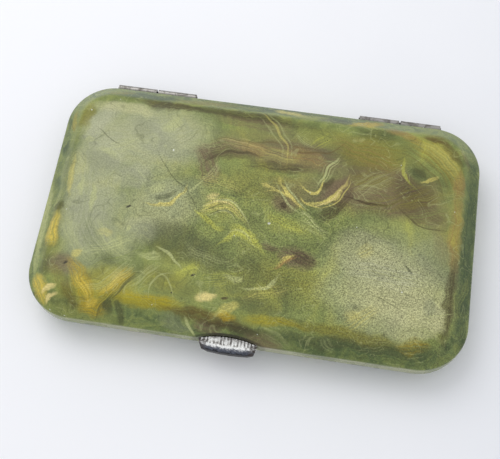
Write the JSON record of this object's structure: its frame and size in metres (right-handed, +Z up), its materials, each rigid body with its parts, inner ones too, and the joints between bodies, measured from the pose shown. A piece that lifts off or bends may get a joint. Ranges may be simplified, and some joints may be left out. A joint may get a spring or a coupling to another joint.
{
  "type": "hinged pocket case",
  "caption": "Flat hinged pocket case of marbled moulded plastic: shouldered lid and base shells, rear butt hinges and a ribbed, sprung thumb catch at the front.",
  "frame": {"origin": "centre of the closed case's underside", "axes": "+X along the case to its right, +Y to the hinges at the rear, +Z up out of the lid"},
  "size_m": [0.13, 0.0829, 0.017],
  "materials": {
    "lid_plastic": "moulded thermoset, marbled olive, ochre, blue-green and brown, worn gloss",
    "base_plastic": "moulded thermoset, marbled olive, ochre, blue-green and brown, worn gloss",
    "hinge_metal": "nickel-plated sheet, dulled",
    "pin_metal": "bare steel wire",
    "screw_metal": "nickel-plated, slotted",
    "catch_metal": "nickel-plated, fluted, worn and darkened",
    "plate_metal": "nickel-plated sheet, dulled",
    "spring_steel": "blued spring steel"
  },
  "bodies": {
    "base": {"base_shell": "base_plastic", "left_hinge_base_leaf": "hinge_metal", "left_hinge_pin": "pin_metal", "left_hinge_base_screws": "screw_metal", "right_hinge_base_leaf": "hinge_metal", "right_hinge_pin": "pin_metal", "right_hinge_base_screws": "screw_metal", "catch_bracket": "plate_metal", "catch_pin": "pin_metal", "catch_spring": "spring_steel", "catch_bracket_screws": "screw_metal"},
    "lid": {"lid_shell": "lid_plastic", "left_hinge_lid_leaf": "hinge_metal", "left_hinge_lid_screws": "screw_metal", "right_hinge_lid_leaf": "hinge_metal", "right_hinge_lid_screws": "screw_metal", "keeper_plate": "plate_metal", "keeper_screws": "screw_metal"},
    "catch": {"thumb_catch": "catch_metal"}
  },
  "joints": [
    {"name": "lid_hinge", "type": "hinge", "parent": "base", "child": "lid", "pos_m": [0, 0.0401, 0.0085], "axis": [-1, 0, 0], "range_deg": [0, 180]},
    {"name": "thumb_catch", "type": "hinge", "parent": "base", "child": "catch", "pos_m": [-0.0026, -0.03785, 0.007], "axis": [1, 0, 0], "range_deg": [0, 16], "stiffness_Nm_per_rad": 0.03, "springref_deg": -5.73}
  ]
}
